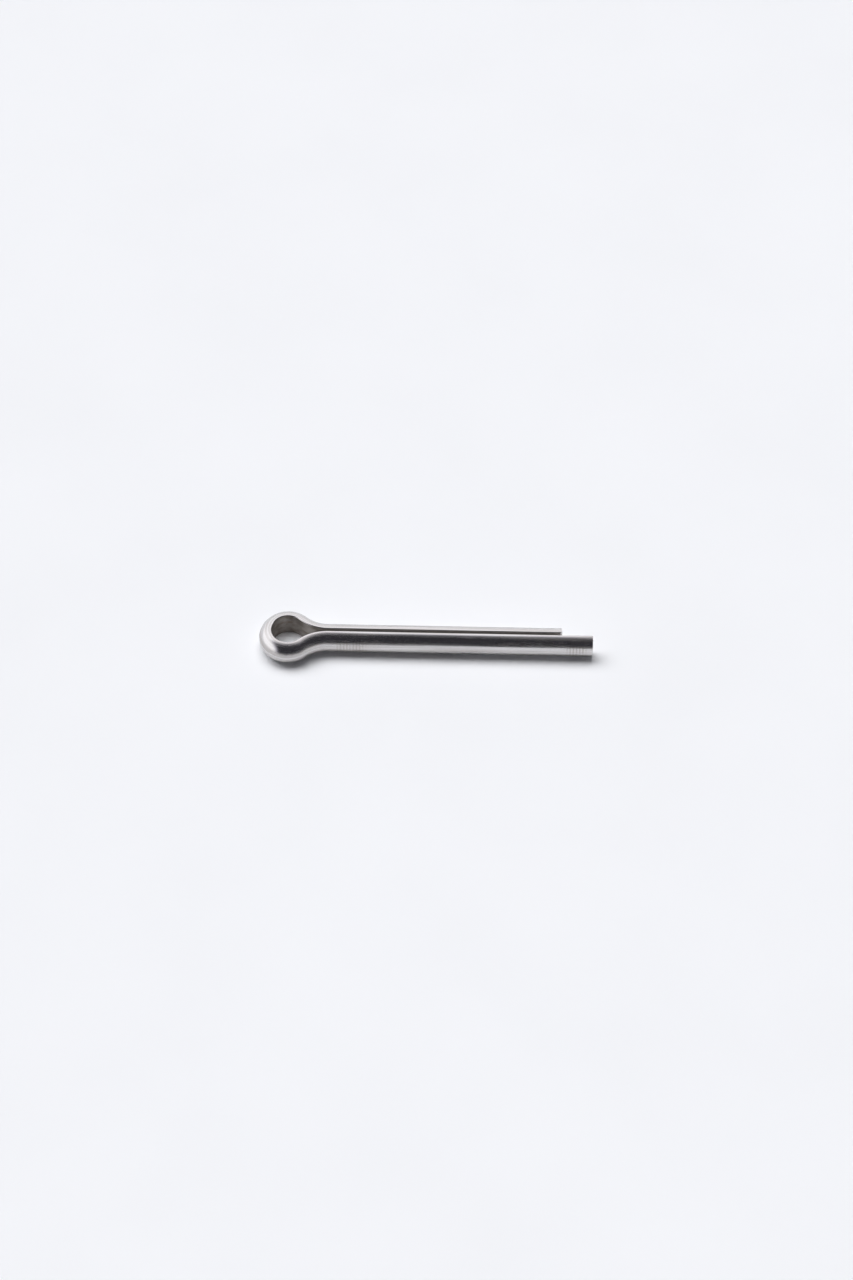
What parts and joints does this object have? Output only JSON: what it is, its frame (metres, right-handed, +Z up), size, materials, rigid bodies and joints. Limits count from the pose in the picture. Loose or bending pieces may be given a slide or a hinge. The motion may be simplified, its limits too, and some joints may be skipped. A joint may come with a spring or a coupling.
{
  "type": "cotter pin",
  "caption": "Split cotter pin of half-round stainless steel wire, with a round eye and two straight legs lying flat to flat, one leg longer than the other.",
  "frame": {"origin": "on the table, under the middle of the pin's footprint", "axes": "+X along the shank from the eye to the leg ends, +Y towards the short leg, +Z up out of the table, parallel to the eye's axis"},
  "size_m": [0.0346, 0.006, 0.0028],
  "materials": {
    "stainless_wire": "bright drawn"
  },
  "bodies": {
    "root": {"cotter_pin": "stainless_wire"}
  },
  "joints": []
}
